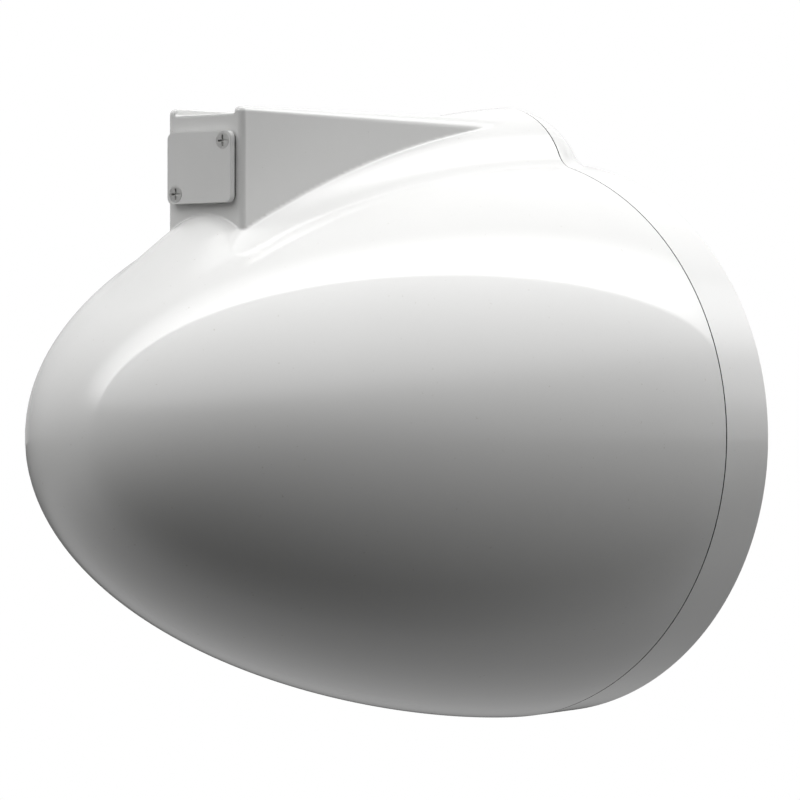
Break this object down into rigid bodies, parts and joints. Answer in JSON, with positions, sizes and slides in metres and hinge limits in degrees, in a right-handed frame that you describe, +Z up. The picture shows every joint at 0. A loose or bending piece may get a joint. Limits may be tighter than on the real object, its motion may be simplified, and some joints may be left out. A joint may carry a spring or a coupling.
{
  "type": "radar antenna pod",
  "caption": "Egg-shaped radar pod hung from a slotted arm, with a round flat antenna that scans sideways and tilts behind a shallow radome.",
  "frame": {"origin": "centre of the mounting bolt pattern, on the slot floor in the top of the arm", "axes": "+X the way the radar looks (from tail to radome), +Y port, +Z up, out of the mounting slot"},
  "size_m": [0.3955, 0.308, 0.335],
  "materials": {
    "shell_white": "smooth gloss gelcoat",
    "radome_white": "smooth gloss",
    "plate_white": "smooth satin",
    "seal_rubber": "moulded, matt",
    "steel": "stainless",
    "aluminium": "machined",
    "painted_frame": "satin paint",
    "motor_black": "satin paint",
    "brass": "machined",
    "gear_plastic": "moulded acetal",
    "antenna_laminate": "painted laminate",
    "board_green": "lacquered",
    "terminal_green": "moulded",
    "cable_black": "smooth sheath",
    "pack_cloth": "woven bag"
  },
  "bodies": {
    "pod": {"rear_shell": "shell_white", "front_radome": "radome_white", "seam_gasket": "seal_rubber", "cover_plate": "plate_white", "plate_gasket": "seal_rubber", "plate_screws": "steel", "mount_inserts": "steel", "cable_grommet": "seal_rubber", "mount_block": "aluminium", "block_bolts": "steel", "spine_plate": "aluminium", "chassis_ring": "aluminium", "ring_screws": "steel", "shell_screws": "steel", "radome_clips": "steel", "clip_screws": "steel", "terminal_block": "terminal_green", "main_harness": "cable_black", "scanner_frame": "painted_frame", "frame_screws": "steel", "azimuth_bearings": "steel", "azimuth_motor": "motor_black", "azimuth_motor_screws": "steel", "processor_box": "painted_frame", "processor_board": "board_green", "board_standoffs": "steel", "board_screws": "steel", "processor_lid": "painted_frame", "lid_screws": "steel", "power_supply": "painted_frame", "desiccant_pack": "pack_cloth"},
    "turntable": {"yoke": "aluminium", "azimuth_gear": "gear_plastic", "gear_screws": "steel", "azimuth_pins": "steel", "pin_clips": "steel", "tilt_bushes": "brass", "tilt_motor": "motor_black", "tilt_motor_screws": "steel"},
    "antenna": {"antenna_plate": "antenna_laminate", "antenna_bracket": "aluminium", "antenna_screws": "steel", "rf_module": "aluminium", "tilt_pins": "steel", "tilt_gear": "gear_plastic"},
    "azimuth_drive": {"azimuth_motor_shaft": "steel", "azimuth_pinion": "brass"},
    "tilt_drive": {"tilt_motor_shaft": "steel", "tilt_pinion": "brass"}
  },
  "joints": [
    {"name": "azimuth_scan", "type": "hinge", "parent": "pod", "child": "turntable", "pos_m": [0.093, 0, -0.166], "axis": [0, 0, 1], "range_deg": [-60, 60]},
    {"name": "elevation_tilt", "type": "hinge", "parent": "turntable", "child": "antenna", "pos_m": [0.093, 0, -0.166], "axis": [0, 1, 0], "range_deg": [-15, 15]},
    {"name": "azimuth_pinion_spin", "type": "hinge", "parent": "pod", "child": "azimuth_drive", "pos_m": [0.0345, 0, -0.21], "axis": [0, 0, 1], "range_deg": [-201, 201]},
    {"name": "tilt_pinion_spin", "type": "hinge", "parent": "turntable", "child": "tilt_drive", "pos_m": [0.054, 0.026, -0.166], "axis": [0, 1, 0], "range_deg": [-51, 51]}
  ],
  "couplings": [
    {"joint": "azimuth_pinion_spin", "follows": "azimuth_scan", "ratio": -3.3333},
    {"joint": "tilt_pinion_spin", "follows": "elevation_tilt", "ratio": -3.3333}
  ]
}
